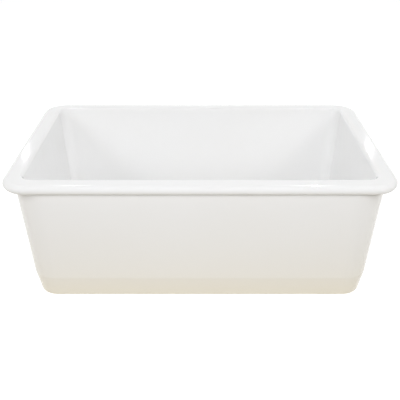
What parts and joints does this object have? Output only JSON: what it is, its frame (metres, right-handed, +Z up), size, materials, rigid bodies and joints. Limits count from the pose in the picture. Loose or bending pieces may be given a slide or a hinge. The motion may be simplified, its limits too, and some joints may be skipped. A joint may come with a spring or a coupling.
{
  "type": "farmhouse sink",
  "caption": "Glazed fireclay farmhouse kitchen sink: one deep bowl, a flat rolled rim and a plain sloping apron, with a basket strainer waste and tailpiece.",
  "frame": {"origin": "on the drain's axis, in the plane of the sink's flat base", "axes": "+X to the right seen from the apron, +Y from the apron to the back, +Z up"},
  "size_m": [0.762, 0.508, 0.4187],
  "materials": {
    "glaze": "thick glossy white glaze over fireclay",
    "stainless": "spun stainless steel with fine round brushing",
    "basket_steel": "pressed stainless steel, satin",
    "knob_steel": "polished, with light handling marks",
    "spring_steel": "plain drawn spring steel",
    "seal_rubber": "soft grey sealing ring",
    "gasket_rubber": "black moulded rubber",
    "stopper_rubber": "black moulded rubber, smooth",
    "fibre": "pressed brown fibre",
    "washer_plastic": "white nylon",
    "cast_brass": "rough cast brass",
    "plated_brass": "chrome-plated brass"
  },
  "bodies": {
    "root": {"sink_basin": "glaze", "flange_seal": "seal_rubber", "strainer_body": "stainless", "under_gasket": "gasket_rubber", "friction_ring": "fibre", "lock_nut": "cast_brass", "tailpiece_washer": "washer_plastic", "coupling_nut": "plated_brass", "tailpiece": "plated_brass"},
    "basket": {"basket_cup": "basket_steel", "basket_hub": "basket_steel", "detent_clip": "spring_steel"},
    "plunger": {"basket_post": "basket_steel", "basket_knob": "knob_steel", "stopper_disc": "stopper_rubber", "stopper_backing": "cast_brass", "stopper_nut": "cast_brass"}
  },
  "joints": [
    {"name": "basket_lift", "type": "slide", "parent": "root", "child": "basket", "axis": [0, 0, 1], "range_m": [0, 0.31]},
    {"name": "stopper_press", "type": "slide", "parent": "basket", "child": "plunger", "axis": [0, 0, -1], "range_m": [0, 0.009]}
  ]
}
